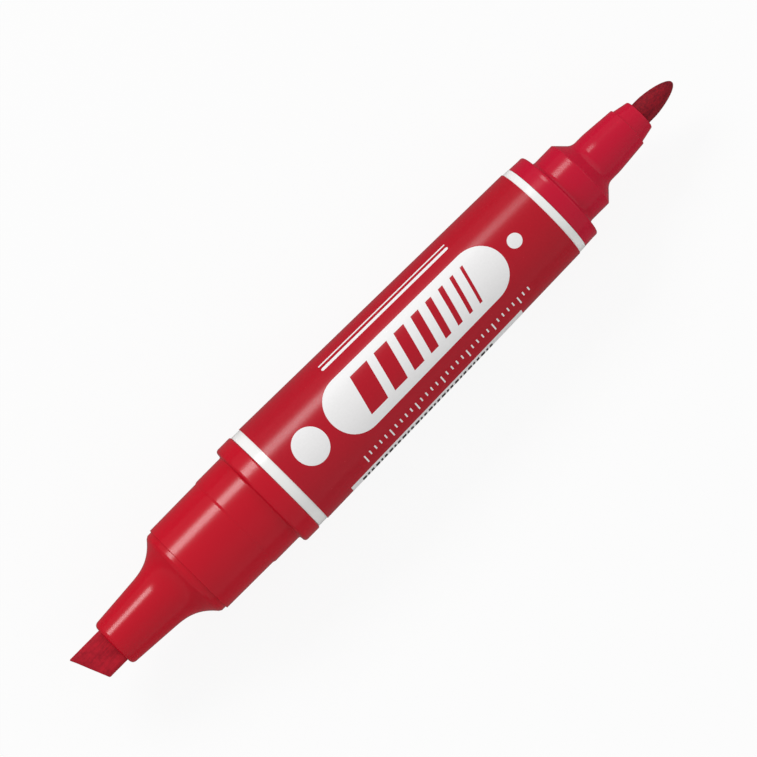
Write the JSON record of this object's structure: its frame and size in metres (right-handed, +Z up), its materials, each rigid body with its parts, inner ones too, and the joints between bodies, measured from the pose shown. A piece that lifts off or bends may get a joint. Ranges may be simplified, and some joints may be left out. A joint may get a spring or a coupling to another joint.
{
  "type": "double-ended marker pen",
  "caption": "Double-ended permanent marker without caps: tapered barrel with a printed wrap, broad chisel nib in a flared mouthpiece, fine bullet nib in a stepped mouthpiece.",
  "frame": {"origin": "middle of the pen's length, on the ground under its axis where the broad collar rests", "axes": "+X along the pen's axis to the fine nib, +Y to the side of the chisel nib's long corner, +Z up through the middle of the label's front"},
  "size_m": [0.1144, 0.0174, 0.0173],
  "materials": {
    "red_plastic": "moulded semi-gloss",
    "white_plastic": "moulded satin",
    "label_film": "printed satin film",
    "broad_felt": "pressed fibre soaked with ink",
    "fine_felt": "pressed fibre soaked with ink",
    "ink_fibre": "soft fibre soaked with ink",
    "sheath_film": "clear film"
  },
  "bodies": {
    "pen_body": {"barrel": "white_plastic", "label": "label_film", "broad_holder": "red_plastic", "fine_holder": "red_plastic", "ink_reservoir": "ink_fibre", "reservoir_wrap": "sheath_film"},
    "broad_nib": {"broad_nib": "broad_felt"},
    "fine_nib": {"fine_nib": "fine_felt"}
  },
  "joints": [
    {"name": "broad_nib_draw", "type": "slide", "parent": "pen_body", "child": "broad_nib", "axis": [-1, 0, 0], "range_m": [0, 0.022]},
    {"name": "fine_nib_draw", "type": "slide", "parent": "pen_body", "child": "fine_nib", "axis": [1, 0, 0], "range_m": [0, 0.028]}
  ]
}
